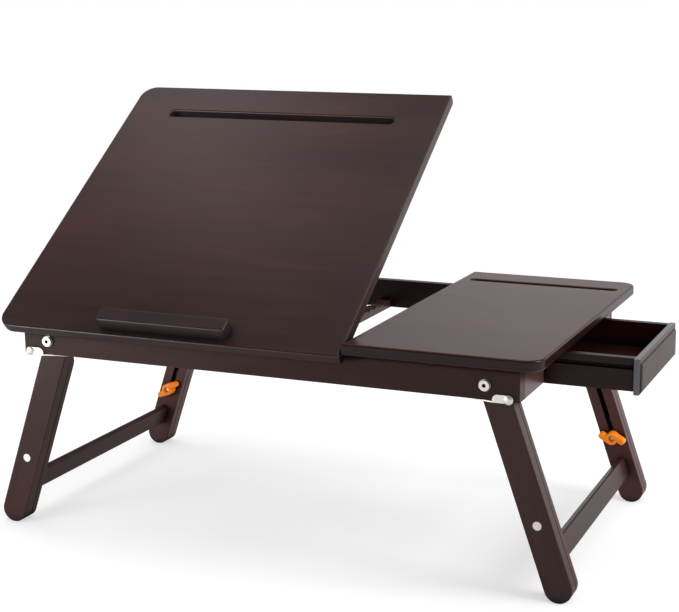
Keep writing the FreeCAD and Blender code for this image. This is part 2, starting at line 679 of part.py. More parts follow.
def stretcher(side_name, side):
    """The rail between a leg frame's feet, tenoned into both lower legs."""
    body = new_body(f"stretcher_{side_name}")
    outline = new_sketch(body, "XZ_Plane")
    rectangle(outline, "-stretcher_thick / 2", "-(stretcher_top + stretcher_wide)",
              "stretcher_thick / 2", "-stretcher_top")
    pad(body, outline, "2 * leg_in", middle=True)
    dress(body, "Fillet", lambda e: direction(e) == 1, "edge_round")
    tenons = new_sketch(body, "XZ_Plane")
    middle = "(stretcher_top + stretcher_wide / 2)"
    rectangle(tenons, "-tenon_thick / 2", f"-{middle} - tenon_wide / 2", "tenon_thick / 2",
              f"-{middle} + tenon_wide / 2")
    pad(body, tenons, "2 * (leg_in + tenon_long)", middle=True)
    lean_leg(body, side)


def clamp_bolts(side_name, side):
    """The carriage bolts that clamp the two plies, heads let into the outer ply."""
    bolts = []
    for end in ENDS.values():
        def disc(inner, outer, radius, end=end):
            low = f"-({outer})" if end < 0 else inner
            return rod("y", 0, low, "-clamp_reach", radius, f"({outer}) - ({inner})")

        under_head = "leg_out - clamp_head_in"
        shank = disc("leg_in - bolt_end_up", under_head, "clamp_bolt / 2")
        head = disc(under_head, "leg_out + clamp_head_out", "clamp_head / 2")
        bolts.append(fuse(shank, head))
    item = group(bolts)
    lean_leg(item, side)
    node(item, f"clamp_bolts_{side_name}")


def end_at(sketch, geometry, spot):
    """Which end of a line or arc, 1 or 2, lies at a spot."""
    return 1 if sketch.getPoint(geometry, 1).distanceToPoint(spot) < 1e-6 else 2


def wing_outline(sketch, hand):
    """A hub's circle with two ears that leave it along tangents on opposite sides, like an S."""
    hub, ear, far = size("wing_hub / 2"), size("wing_ear_wide / 2"), size("wing_ear_far")
    inner = hub - 2 * ear
    corners = [(0, hub), (far, hub), (far, inner), (math.sqrt(hub ** 2 - inner ** 2), inner)]
    bulges = {1: (far + ear, hub - ear), 3: (hub / math.sqrt(2), -hub / math.sqrt(2))}
    spots = [FreeCAD.Vector(way * x, way * hand * y, 0) for way in (1, -1) for x, y in corners]
    pieces = []
    for n, (start, end) in enumerate(zip(spots, spots[1:] + spots[:1])):
        piece = Part.LineSegment(start, end)
        if n % 4 in bulges:
            x, y = bulges[n % 4]
            way = 1 if n < 4 else -1
            piece = Part.Arc(start, FreeCAD.Vector(way * x, way * hand * y, 0), end)
        pieces.append(sketch.addGeometry(piece))
    for n, (one, two) in enumerate(zip(pieces, pieces[1:] + pieces[:1])):
        spot = spots[(n + 1) % 8]
        kind = "Coincident" if n % 4 == 2 else "Tangent"
        ends = (end_at(sketch, one, spot), end_at(sketch, two, spot))
        sketch.addConstraint(Sketcher.Constraint(kind, one, ends[0], two, ends[1]))
    for line in pieces[::2]:
        sketch.addConstraint(Sketcher.Constraint("Horizontal", line))
    ears, hubs = pieces[1::4], pieces[3::4]
    pin_point(sketch, hubs[0], 3, "0", "0")
    sketch.addConstraint(Sketcher.Constraint("Coincident", hubs[0], 3, hubs[1], 3))
    for pair, radius in ((hubs, "wing_hub / 2"), (ears, "wing_ear_wide / 2")):
        sketch.addConstraint(Sketcher.Constraint("Equal", *pair))
        index = sketch.addConstraint(Sketcher.Constraint("Radius", pair[0], size(radius)))
        bind(sketch, f"Constraints[{index}]", radius)
    for piece, reach in zip(ears, ("wing_ear_far", "-wing_ear_far")):
        index = sketch.addConstraint(Sketcher.Constraint("DistanceX", -1, 1, piece, 3, size(reach)))
        bind(sketch, f"Constraints[{index}]", reach)


def wing_nut(side_name, side, end_name, end):
    """A moulded wing nut whose hub is an open ring round the bolt's end."""
    body = new_body(f"wing_nut_{side_name}_{end_name}")
    foot = new_sketch(body, "XZ_Plane")
    circle(foot, "0", "0", "wing_hub / 2")
    pad(body, foot, "wing_ear_low", back=end < 0)
    wings = new_sketch(body, "XZ_Plane", f"{end} * wing_ear_low")
    wing_outline(wings, end)
    pad(body, wings, "wing_tall - wing_ear_low", back=end < 0)
    tip = size("wing_tall")
    dress(body, "Fillet", lambda e: all(abs(abs(v.Y) - tip) < 1e-4 for v in e.Vertexes),
          "wing_round")
    bore = new_sketch(body, "XZ_Plane")
    circle(bore, "0", "0", "clamp_bolt / 2 + bolt_fit")
    pocket(body, bore, "wing_tall * 2")
    mouth = new_sketch(body, "XZ_Plane", f"{end} * wing_tall")
    circle(mouth, "0", "0", "wing_mouth / 2")
    pocket(body, mouth, "wing_mouth_deep")
    x = f"{PIVOTS[side]} + {side} * clamp_reach * sin(lean)"
    z = "pivot_z - clamp_reach * cos(lean)"
    place(body, x, f"{end} * (leg_in - wing_back)", z,
          turn=f"wing_turn_{side_name}_{end_name}", axis=(0, 1, 0))


def legs():
    for side_name, side in SIDES.items():
        for end_name, end in ENDS.items():
            upper_leg(side_name, side, end_name, end)
            lower_leg(side_name, side, end_name, end)
            wing_nut(side_name, side, end_name, end)
        stretcher(side_name, side)
        clamp_bolts(side_name, side)


def pivot_hardware():
    """The bolts that the leg frames swing on, with their washers, spacers and let-in nuts."""
    bolts, washers, spacers, nuts = [], [], [], []
    for side in SIDES.values():
        for end in ENDS.values():
            x = PIVOTS[side]

            def disc(inner, outer, radius, x=x, end=end):
                low = f"-({outer})" if end < 0 else inner
                return rod("y", x, low, "pivot_z", radius, f"({outer}) - ({inner})")

            face = f"({FACES[end]} + washer_thick)"
            nose = f"({face} + pivot_head_tall)"
            seat = "(leg_out - outer_ply + nut_inset)"
            socket = disc(f"{nose} - socket_deep", f"{nose} + 1", "socket_wide / 2")
            head = disc(face, nose, "pivot_head / 2")
            shank = disc(seat, face, "pivot_bolt / 2")
            bolts.append(cut(fuse(shank, head), socket))
            hole = disc("leg_in", f"{face} + 1", "pivot_bolt / 2 + bolt_fit")
            washers.append(cut(disc(FACES[end], face, "washer_wide / 2"), hole))
            spacers.append(cut(disc("leg_out + bolt_fit", "apron_in", "washer_wide / 2"), hole))
            nut_face = f"{seat} + pivot_nut_deep - nut_inset"
            nuts.append(cut(disc(seat, nut_face, "pivot_nut_wide / 2"), hole))
    for label, pieces in (("pivot_bolts", bolts), ("pivot_washers", washers),
                          ("pivot_spacers", spacers), ("pivot_nuts", nuts)):
        node(group(pieces), label)


# ---------------------------------------------------------------- latches

def latch(side_name, side, end_name, end):
    """A stamped leg latch: an eye on the rivet, a face plate and a tapering flange under the apron."""
    body = new_body(f"leg_latch_{side_name}_{end_name}")
    inward = -side
    middle = f"-({end}) * (latch_gap + latch_thick / 2)"
    plate = new_sketch(body, "XZ_Plane", middle)
    foot = "-(latch_rise + latch_gap + latch_thick)"
    rectangle(plate, *ordered(inward, "0", "latch_plate", foot, f"{foot} + latch_tall"))
    pad(body, plate, "latch_thick", middle=True)
    tip, top = size("latch_plate"), size(f"{foot} + latch_tall")
    dress(body, "Fillet", lambda e: direction(e) == 1 and abs(abs(e.Vertexes[0].X) - tip) < 1e-4
          and at_height(e, top), "latch_round")
    eye = new_sketch(body, "XZ_Plane", middle)
    circle(eye, "0", "0", "latch_eye")
    pad(body, eye, "latch_thick", middle=True)
    flange = new_sketch(body, "XY_Plane", foot)
    front = f"{end} * (latch_gap + latch_thick)"
    back = f"{end} * (latch_gap + latch_thick - {FLANGES[end]})"
    polygon(flange, [(f"{inward} * flange_near", front), (f"{inward} * latch_plate", front),
                     (f"{inward} * latch_long", f"({back}) + {end} * flange_far"),
                     (f"{inward} * latch_long", back), (f"{inward} * flange_near", back)])
    pad(body, flange, "latch_thick")
    bore = new_sketch(body, "XZ_Plane")
    circle(bore, "0", "0", "rivet_radius + bolt_fit")
    pocket(body, bore, "flange_front * 2")
    place(body, LATCHES[side], f"{end} * {FACES[end]}", "latch_z")


def rivet(side, end):
    """A dome-headed rivet that holds a latch's eye to an apron."""
    face = f"({FACES[end]} + 2 * latch_gap + latch_thick)"
    inner = f"({FACES[end]} - back_thick / 2)"
    low = f"-{face}" if end < 0 else inner
    shank = rod("y", LATCHES[side], low, "latch_z", "rivet_radius - rivet_fit", f"{face} - {inner}")
    ball = DOC.addObject("Part::Sphere", "Dome")
    bind(ball, "Radius", "rivet_ball")
    place(ball, LATCHES[side], f"{end} * ({face} + rivet_dome - rivet_ball)", "latch_z")
    base = f"-({face} + rivet_dome)" if end < 0 else face
    keep = rod("y", LATCHES[side], base, "latch_z", "rivet_head", "rivet_dome")
    dome = DOC.addObject("Part::Common", "RivetHead")
    dome.Base, dome.Tool = ball, keep
    return fuse(shank, dome)


def latches():
    for side_name, side in SIDES.items():
        for end_name, end in ENDS.items():
            latch(side_name, side, end_name, end)
            node(rivet(side, end), f"latch_rivet_{side_name}_{end_name}")


# ---------------------------------------------------------------- drawer

def drawer_side(label, outer, sign):
    """A drawer side with the guide groove outside and the bottom's groove inside."""
    body = new_body(label)
    outline = new_sketch(body, "YZ_Plane", "drawer_in_x + drawer_out")
    inner = f"({outer}) + {sign} * drawer_wall"
    low, high = (outer, inner) if sign > 0 else (inner, outer)
    rectangle(outline, low, "drawer_low", high, "drawer_high")
    pad(body, outline, "front_in_x - drawer_in_x")
    groove = new_sketch(body, "XZ_Plane", f"-({outer})")
    rectangle(groove, "drawer_in_x + drawer_out - 1", "groove_top - groove_tall",
              "front_in_x + drawer_out + 1", "groove_top")
    pocket(body, groove, "groove_deep")
    slit = new_sketch(body, "XZ_Plane", f"-({inner})")
    rectangle(slit, "drawer_in_x + drawer_out - 1", "drawer_low + bottom_rise - bottom_room",
              "front_in_x + drawer_out + 1", "drawer_low + bottom_rise + bottom_thick + bottom_room")
    pocket(body, slit, "bottom_let_in")


def drawer():
    drawer_side("drawer_side_front", "drawer_front_y", 1)
    drawer_side("drawer_side_back", "drawer_back_y", -1)
    inner_front, inner_back = "drawer_front_y + drawer_wall", "drawer_back_y - drawer_wall"
    floor_top = "drawer_low + bottom_rise + bottom_thick"
    board("drawer_back", "drawer_in_x + drawer_out", "drawer_in_x + drawer_out + drawer_wall",
          inner_front, inner_back, f"{floor_top}", "drawer_high")
    board("drawer_bottom", "drawer_in_x + drawer_out + 0.5", "front_in_x + drawer_out",
          f"{inner_front} - bottom_let_in + bottom_room",
          f"{inner_back} + bottom_let_in - bottom_room",
          "drawer_low + bottom_rise", floor_top)
    front = board("drawer_front", "front_in_x + drawer_out", "frame_x + drawer_out",
                  "opening_front + front_gap", "opening_back - front_gap",
                  "frame_z - front_lip", "drawer_high")
    face = size("frame_x + drawer_out")
    dress(front, "Fillet", lambda e: all(abs(v.X - face) < 1e-4 for v in e.Vertexes),
          "front_round")
    field = board("drawer_front_field", "frame_x + drawer_out", "frame_x + drawer_out + field_thick",
                  "opening_front + front_gap + field_margin", "opening_back - front_gap - field_margin",
                  "frame_z - front_lip + field_margin / 2", "drawer_high - field_below")
    face = size("frame_x + drawer_out + field_thick")
    dress(field, "Chamfer", lambda e: all(abs(v.X - face) < 1e-4 for v in e.Vertexes),
          "field_bevel")


# ---------------------------------------------------------------- build

def check_document():
    for item in DOC.Objects:
        if "Invalid" in item.State or "Error" in item.State:
            raise RuntimeError(f"{item.Name} ({item.Label}) failed: {item.State}")
    for item in NODES:
        if item.Shape.isNull() or not item.Shape.isValid() or not item.Shape.Solids:
            raise RuntimeError(f"{item.Label} has no valid solid")


def main():
    fill_sheet()
    top_panels()
    stop_bar()
    panel_hinges()
    frame_boards()
    rails()
    drawer_runners()
    prop_frame()
    prop_hinges()
    legs()
    pivot_hardware()
    latches()
    drawer()
    DOC.recompute()
    check_document()
    os.makedirs("parts", exist_ok=True)
    to_origin = FreeCAD.Vector(-size("origin_x"), -size("origin_y"), 0)
    for item in NODES:
        shape = item.Shape.copy()
        shape.translate(to_origin)
        shape.exportStep(f"parts/{item.Label}.step")
    print(len(NODES), "nodes,", sum(len(item.Shape.Solids) for item in NODES), "solids")


main()
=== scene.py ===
# %% [markdown]
# # A folding laptop stand in dark lacquered wood
# The stand is a bed tray: a tilting panel, a fixed panel with a drawer below it, and two folding leg
# frames held at their length by orange wing nuts. Every board and every fitting comes from the
# imported frame at its true size. What is left for Blender is how it looks: the lacquer with the faint
# grain under it, the edges painted paler as wear and as a painted highlight, the painted shade in
# slots and corners, the nickel and zinc of the fittings, and the moulded plastic. There is nothing
# soft on this object, so no mesh is added.

# %% Load the frame
import math

import bpy
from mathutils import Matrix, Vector


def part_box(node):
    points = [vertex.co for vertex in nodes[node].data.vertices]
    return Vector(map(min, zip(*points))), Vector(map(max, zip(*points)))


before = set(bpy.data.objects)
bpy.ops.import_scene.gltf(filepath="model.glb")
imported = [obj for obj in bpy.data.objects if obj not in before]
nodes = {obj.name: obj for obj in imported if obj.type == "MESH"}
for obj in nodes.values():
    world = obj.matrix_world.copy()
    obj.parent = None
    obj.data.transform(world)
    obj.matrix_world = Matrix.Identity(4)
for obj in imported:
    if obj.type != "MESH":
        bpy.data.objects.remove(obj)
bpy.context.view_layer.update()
scene = bpy.context.scene

# %% [markdown]
# ## The camera
# A product picture is taken from a little above the table and to one side, with a long lens so that
# the legs stay nearly parallel. The lens is given by its focal length in pixels of a 679 by 612
# picture, and the object sits off the middle, so the frame is shifted rather than the camera turned:
# a turn would make the legs lean.

# %% Camera
picture_wide = 679
picture_high = 612
focal_pixels = 1462.2
middle_pixels = (427.8, 287.6)
sensor_wide = 36.0
camera_place = (0.5932, -1.3294, 0.5392)
camera_down = 11.65
camera_left = 20.87

camera_data = bpy.data.cameras.new("product_camera")
camera_data.sensor_width = sensor_wide
camera_data.lens = focal_pixels / picture_wide * sensor_wide
camera_data.shift_x = (picture_wide / 2 - middle_pixels[0]) / picture_wide
camera_data.shift_y = -(picture_high / 2 - middle_pixels[1]) / picture_wide
camera = bpy.data.objects.new("product_camera", camera_data)
scene.collection.objects.link(camera)
camera.location = camera_place
camera.rotation_euler = (math.radians(90 - camera_down), 0, math.radians(camera_left))
scene.camera = camera
print("lens", round(camera_data.lens, 1), "mm, shift", round(camera_data.shift_x, 3))

# %% [markdown]
# ## World
# The lacquer is so dark that most of what one sees on it is reflection, so the room matters more than
# the lamps. A world of one even grey would light every side alike, and a picture of a real room would
# bring its own colours. Here the world is two plain patterns of direction. The gloss sees a white wall
# low behind the stand and a dim room elsewhere: flat boards mirror the wall and look grey, and boards
# that face the front stay brown. The matt part of the light comes from above, behind and to the right.
# Seen straight on by the camera the world is plain white.

# %% A plain node helper
def add_node(tree, kind, **inputs):
    """A shader node with its inputs set by name; an underscore in a name stands for a space."""
    made = tree.nodes.new(kind)
    for name, value in inputs.items():
        made.inputs[name.replace("_", " ")].default_value = value
    return made


def add_math(tree, operation, first, second):
    """A math node on two values, each a socket or a plain number."""
    made = add_node(tree, "ShaderNodeMath")
    made.operation = operation
    for place, value in enumerate((first, second)):
        if isinstance(value, (int, float)):
            made.inputs[place].default_value = value
        else:
            tree.links.new(value, made.inputs[place])
    return made.outputs[0]


def blend(tree, factor, low, high):
    """Goes from one number to another as a factor goes from 0 to 1; each is a socket or a number."""
    made = add_node(tree, "ShaderNodeMix")
    made.data_type = "FLOAT"
    for place, value in ((0, factor), (2, low), (3, high)):
        if isinstance(value, (int, float)):
            made.inputs[place].default_value = value
        else:
            tree.links.new(value, made.inputs[place])
    return made.outputs[0]


print("node helpers: add_node, add_math and blend")

# %% World
world = bpy.data.worlds.new("studio")
world.use_nodes = True
scene.world = world
sky = world.node_tree
sky.nodes.clear()
white_level = 1.0
dim_level = 0.06
fill_bright = 0.84
fill_dim = 0.05
wall_way = (0.35, 0.93, 0.0)
wall_top = 0.45
wall_full = 0.13
fill_way = (0.45, 0.35, 0.80)
direction = add_node(sky, "ShaderNodeTexCoord")


def facing(way, start, end):
    """0 to 1 as a direction in the room turns from against a given way to along it."""
    along = add_node(sky, "ShaderNodeVectorMath")
    along.operation = "DOT_PRODUCT"
    along.inputs[1].default_value = Vector(way).normalized()
    sky.links.new(direction.outputs["Generated"], along.inputs[0])
    made = add_node(sky, "ShaderNodeMapRange", From_Min=start, From_Max=end)
    made.interpolation_type = "SMOOTHSTEP"
    sky.links.new(along.outputs["Value"], made.inputs["Value"])
    return made.outputs["Result"]


path = add_node(sky, "ShaderNodeLightPath")
parts = add_node(sky, "ShaderNodeSeparateXYZ")
sky.links.new(direction.outputs["Generated"], parts.inputs[0])
low_down = add_node(sky, "ShaderNodeMapRange", From_Min=wall_top, From_Max=wall_full)
low_down.interpolation_type = "SMOOTHSTEP"
sky.links.new(parts.outputs["Z"], low_down.inputs["Value"])
wall = add_math(sky, "MULTIPLY", facing(wall_way, 0.40, 0.80), low_down.outputs["Result"])
mirrored = blend(sky, wall, dim_level, white_level)
fill = blend(sky, facing(fill_way, -0.6, 1.0), fill_dim, fill_bright)
seen = add_math(sky, "MAXIMUM", path.outputs["Is Camera Ray"], path.outputs["Is Transmission Ray"])
unseen = blend(sky, path.outputs["Is Glossy Ray"], fill, mirrored)
background = add_node(sky, "ShaderNodeBackground", Color=(1, 1, 1, 1))
sky.links.new(blend(sky, seen, unseen, white_level), background.inputs["Strength"])
world_output = add_node(sky, "ShaderNodeOutputWorld")
sky.links.new(background.outputs[0], world_output.inputs["Surface"])
print("the room goes from", dim_level, "at the front to", white_level, "at the back")

# %% [markdown]
# ## Floor
# The floor is a sheet of white paper that runs on for metres, so that it has no edge in the picture.
# Near the stand it is real paper with a little glow of its own, so that it reads as white and yet
# carries the soft shadow. Farther out it passes into plain white, which is the white of the world, so
# no horizon shows. The glow is there only for rays that look at the floor: it lights nothing.

# %% Floor
floor_half = 9.0
floor_mesh = bpy.data.meshes.new("studio_floor")
corners = [(-floor_half, -floor_half, 0), (floor_half, -floor_half, 0),
           (floor_half, floor_half, 0), (-floor_half, floor_half, 0)]
floor_mesh.from_pydata(corners, [], [(0, 1, 2, 3)])
floor = bpy.data.objects.new("studio_floor", floor_mesh)
scene.collection.objects.link(floor)

paper = bpy.data.materials.new("white_paper_floor")
paper.use_nodes = True
tree = paper.node_tree
tree.nodes.clear()
paper_white = 0.60
camera_glow = 0.53
mirror_glow = 0.02
paper_reach = 0.55
white_from = 1.5
rays = add_node(tree, "ShaderNodeLightPath")
seen = add_math(tree, "MAXIMUM", rays.outputs["Is Camera Ray"],
                add_math(tree, "MAXIMUM", rays.outputs["Is Glossy Ray"],
                         rays.outputs["Is Transmission Ray"]))
near_glow = add_math(tree, "MULTIPLY", seen,
                     blend(tree, rays.outputs["Is Camera Ray"], mirror_glow, camera_glow))
matt = add_node(tree, "ShaderNodeBsdfDiffuse", Color=(paper_white, paper_white, paper_white, 1))
glow = add_node(tree, "ShaderNodeEmission", Color=(1, 1, 1, 1))
tree.links.new(near_glow, glow.inputs["Strength"])
lit_paper = add_node(tree, "ShaderNodeAddShader")
tree.links.new(matt.outputs[0], lit_paper.inputs[0])
tree.links.new(glow.outputs[0], lit_paper.inputs[1])
place = add_node(tree, "ShaderNodeTexCoord")
distance = add_node(tree, "ShaderNodeVectorMath")
distance.operation = "LENGTH"
tree.links.new(place.outputs["Object"], distance.inputs[0])
far = add_node(tree, "ShaderNodeMapRange", From_Min=paper_reach, From_Max=white_from)
far.interpolation_type = "SMOOTHSTEP"
tree.links.new(distance.outputs["Value"], far.inputs["Value"])
plain_white = add_node(tree, "ShaderNodeEmission", Color=(1, 1, 1, 1), Strength=1.0)
sweep = add_node(tree, "ShaderNodeMixShader")
tree.links.new(add_math(tree, "MULTIPLY", far.outputs["Result"], seen), sweep.inputs[0])
tree.links.new(lit_paper.outputs[0], sweep.inputs[1])
tree.links.new(plain_white.outputs[0], sweep.inputs[2])
surface = add_node(tree, "ShaderNodeOutputMaterial")
tree.links.new(sweep.outputs[0], surface.inputs["Surface"])
floor_mesh.materials.append(paper)
print("floor", 2 * floor_half, "m across, plain white from", white_from, "m")

# %% [markdown]
# ## Lamps
# Six soft boxes, most of them weak. The overhead, back, left and right boxes lay the soft shadow under
# the table, and the right one brightens the drawer's side. The small panel box hangs up on the left,
# where the tilted panel mirrors it: its blurred reflection is the lighter patch on the upper left of
# the panel. The low one at the front left makes the front apron brighter at its left end.
# A seventh lamp is for gloss only. A rounded edge mirrors a very wide piece of the room in a very thin
# line, so it takes a strong small lamp to show, and that lamp would burn out the flat boards. With its
# diffuse ray switched off it draws the bright lines along the rounded front edges and lights nothing.

# %% Lamps
def soft_lamp(name, place, aim, size, power):
    """A rectangular soft box at a place, facing the point it is aimed at."""
    lamp = bpy.data.lights.new(name, "AREA")
    lamp.shape = "RECTANGLE"
    lamp.size, lamp.size_y = size
    lamp.energy = power
    holder = bpy.data.objects.new(name, lamp)
    holder.location = place
    turn = (Vector(aim) - Vector(place)).to_track_quat("-Z", "Y")
    holder.rotation_euler = turn.to_euler()
    scene.collection.objects.link(holder)
    return holder


stand_middle = (0.0, 0.0, 0.2)
large = (1.0, 1.0)
soft_lamp("overhead_box", (-0.1, 0.0, 2.2), stand_middle, large, 6)
soft_lamp("right_box", (2.1, -0.1, 1.2), stand_middle, large, 28)
soft_lamp("back_box", (0.0, 1.7, 1.6), stand_middle, large, 2.3)
soft_lamp("left_box", (-1.7, 0.3, 1.4), stand_middle, large, 1.9)
soft_lamp("panel_box", (-0.90, 0.45, 1.65), stand_middle, (0.6, 0.4), 1.5)
soft_lamp("front_left_box", (-0.90, -1.0, 0.30), stand_middle, (0.4, 0.4), 4.6)
edge_box = soft_lamp("edge_box", (-0.95, -1.05, 0.38), stand_middle, (0.3, 0.3), 3)
edge_box.visible_diffuse = False
print("lamps", sorted(lamp.name for lamp in bpy.data.lights))

# %% [markdown]
# ## Espresso lacquer
# The stand is a plain close-grained wood, stained nearly black-brown and sprayed with a satin lacquer.
# Under it one can just see straight streaks, some reddish and some dark, that run the long way of each
# board. A noise that is stretched along the grain gives them: a slow one for the broad tint and a fast,
# thin one for the lines. The same thin noise moves the roughness a little and gives a bump of a few
# hundredths of a millimetre, so the reflection is not a perfect mirror. Each board has its own offset,
# so that two boards never show the same streaks.

# %% Helpers for the wood
def mapped(tree, turn, offset):
    """Object coordinates turned so that the grain runs along x, then moved on by an offset."""
    place = add_node(tree, "ShaderNodeTexCoord")
    mapping = add_node(tree, "ShaderNodeMapping", Location=offset, Rotation=turn)
    tree.links.new(place.outputs["Object"], mapping.inputs["Vector"])
    return mapping.outputs["Vector"]


def streaks(tree, vector, stretch, scale, detail):
    """A noise drawn out along x: stretch is how many times longer than wide its marks are."""
    thin = add_node(tree, "ShaderNodeMapping", Scale=(1 / stretch, 1, 1))
    tree.links.new(vector, thin.inputs["Vector"])
    noise = add_node(tree, "ShaderNodeTexNoise", Scale=scale, Detail=detail, Roughness=0.55)
    tree.links.new(thin.outputs["Vector"], noise.inputs["Vector"])
    return noise.outputs["Fac"]


def ramp(tree, factor, stops):
    """A colour ramp with stops of (place, colour)."""
    made = add_node(tree, "ShaderNodeValToRGB")
    band = made.color_ramp
    for stop, (place, colour) in zip((band.elements[0], band.elements[1]), (stops[0], stops[-1])):
        stop.position = place
        stop.color = (*colour, 1)
    for place, colour in stops[1:-1]:
        band.elements.new(place).color = (*colour, 1)
    tree.links.new(factor, made.inputs["Fac"])
    return made.outputs["Color"]


def spread(tree, factor, low, high):
    """Carries a 0 to 1 factor over to the range from low to high."""
    made = add_node(tree, "ShaderNodeMapRange", To_Min=low, To_Max=high)
    tree.links.new(factor, made.inputs["Value"])
    return made.outputs["Result"]


print("wood helpers: mapped, streaks, ramp and spread")

# %% [markdown]
# ## Slots, edges and rims
# Slots and inside corners get painted shade: an Ambient Occlusion node with a reach of about a
# centimetre finds them, darkens the colour there and dulls the lacquer. Sharp edges are painted paler,
# partly as wear and partly as a painted highlight; the Bevel node gives a rounded normal there, and
# where that leaves the true normal there is an edge. The cut edge of a panel gets a painted tone of its
# own, painted shade on the fixed panel and a painted grey reflection on the drawer's front, and its
# rounded rim is painted paler as wear and as a painted highlight; both are found from where the surface
# looks, compared with the broad face. All of these are measured on the board itself, so they stay put
# when it moves or is seen from behind.

# %% Slots and corners
corner_reach = 0.013
closed_in = 0.45
wide_open = 0.88


def openness(tree, reach):
    """1 on an open face, falling to 0 in slots and inside corners, where shade is painted."""
    nearby = add_node(tree, "ShaderNodeAmbientOcclusion", Distance=reach)
    nearby.samples = 8
    share = add_node(tree, "ShaderNodeMapRange", From_Min=closed_in, From_Max=wide_open)
    tree.links.new(nearby.outputs["AO"], share.inputs["Value"])
    return share.outputs["Result"]


def times(tree, colour, factor):
    """A colour made darker by a factor."""
    made = add_node(tree, "ShaderNodeMix")
    made.data_type = "RGBA"
    made.blend_type = "MULTIPLY"
    made.inputs[0].default_value = 1.0
    tree.links.new(colour, made.inputs[6])
    tree.links.new(factor, made.inputs[7])
    return made.outputs[2]


print("corners are shaded within", corner_reach * 1000, "mm")


# %% Edges and rims
# Sharp edges are painted paler: partly wear, partly a painted highlight.
RUBBED_AND_HIGHLIGHT = (0.150, 0.100, 0.088)
most_rubbed_and_highlight = 0.4
edge_reach = 0.0008


def along_axis(tree, axis, start, end, level):
    """1 before start and the given level after end, by the place along one axis of the object."""
    place = add_node(tree, "ShaderNodeTexCoord")
    parts = add_node(tree, "ShaderNodeSeparateXYZ")
    tree.links.new(place.outputs["Object"], parts.inputs[0])
    made = add_node(tree, "ShaderNodeMapRange", From_Min=start, From_Max=end, To_Min=1, To_Max=level)
    made.interpolation_type = "SMOOTHSTEP"
    tree.links.new(parts.outputs[axis], made.inputs["Value"])
    return made.outputs["Result"]


def broad_share(tree, way):
    """1 on the broad faces of a board and 0 on its edges; way is where a broad face looks."""
    place = add_node(tree, "ShaderNodeTexCoord")
    along = add_node(tree, "ShaderNodeVectorMath")
    along.operation = "DOT_PRODUCT"
    along.inputs[1].default_value = way
    tree.links.new(place.outputs["Normal"], along.inputs[0])
    made = add_node(tree, "ShaderNodeMapRange", From_Min=0.35, From_Max=0.85)
    tree.links.new(add_math(tree, "ABSOLUTE", along.outputs["Value"], 0), made.inputs["Value"])
    return made.outputs["Result"]


def mixed(tree, factor, low, high):
    """One colour turning into another as a factor goes from 0 to 1; high is a plain colour."""
    made = add_node(tree, "ShaderNodeMix")
    made.data_type = "RGBA"
    tree.links.new(factor, made.inputs[0])
    tree.links.new(low, made.inputs[6])
    made.inputs[7].default_value = (*high, 1)
    return made.outputs[2]


def edge_wear_and_highlight(tree, reach):
    """1 on the sharp edges of a board and 0 elsewhere: where a rounded normal leaves the true one."""
    rounded = add_node(tree, "ShaderNodeBevel", Radius=reach)
    rounded.samples = 4
    surface = add_node(tree, "ShaderNodeNewGeometry")
    along = add_node(tree, "ShaderNodeVectorMath")
    along.operation = "DOT_PRODUCT"
    tree.links.new(rounded.outputs["Normal"], along.inputs[0])
    tree.links.new(surface.outputs["Normal"], along.inputs[1])
    made = add_node(tree, "ShaderNodeMapRange", From_Min=0.99, From_Max=0.80)
    tree.links.new(along.outputs["Value"], made.inputs["Value"])
    return made.outputs["Result"]


def broad_way(node):
    """Where the broad face of a board looks: the direction that most of its area faces."""
    areas = {}
    for face in nodes[node].data.polygons:
        way = tuple(round(part, 2) for part in face.normal)
        areas[way] = areas.get(way, 0) + face.area
    return Vector(max(areas, key=areas.get)).normalized()


for node in ("tilting_panel", "fixed_panel", "drawer_front"):
    print(node, "has its broad face towards", [round(part, 2) for part in broad_way(node)])

# %% [markdown]
# ## One recipe for every board
# The finished wood is put together from the parts above. Three noises, from broad staves down to hair
# lines, are blended into one value, and a ramp turns it into three close stains. A picture of real wood
# would repeat from board to board; a noise measured on the board itself never does. On top come the
# painted tones of the edges, the paler sharp edges and rims, which are partly wear and partly a painted
# highlight, and last the painted shade of slots and corners. The lacquer is the shader's own gloss:
# satin on open faces, and dull in slots and corners. The stains are linear colours, which is why a dark
# brown has such small numbers.

# %% The lacquered wood
ALONG_X = (0, 0, 0)
ALONG_Y = (0, 0, math.radians(90))
leg_lean = math.radians(19)
DULL = 0.9
ESPRESSO = ((0.035, 0.0146, 0.0132), (0.046, 0.0178, 0.0158), (0.060, 0.0214, 0.0182))
# Stain of the fixed panel: redder and lighter, the lighter part painted light from above.
TOP_STAIN_AND_LIGHT = ((0.044, 0.0165, 0.0146), (0.058, 0.0205, 0.0177), (0.074, 0.0248, 0.0208))
DEEP_STAIN = ((0.015, 0.0036, 0.0030), (0.021, 0.0048, 0.0038), (0.029, 0.0066, 0.0052))


def strength(stains, share):
    """The same three stains made stronger or weaker."""
    return tuple(tuple(share * part for part in stain) for stain in stains)


print("the usual stain goes from", ESPRESSO[0], "to", ESPRESSO[-1])


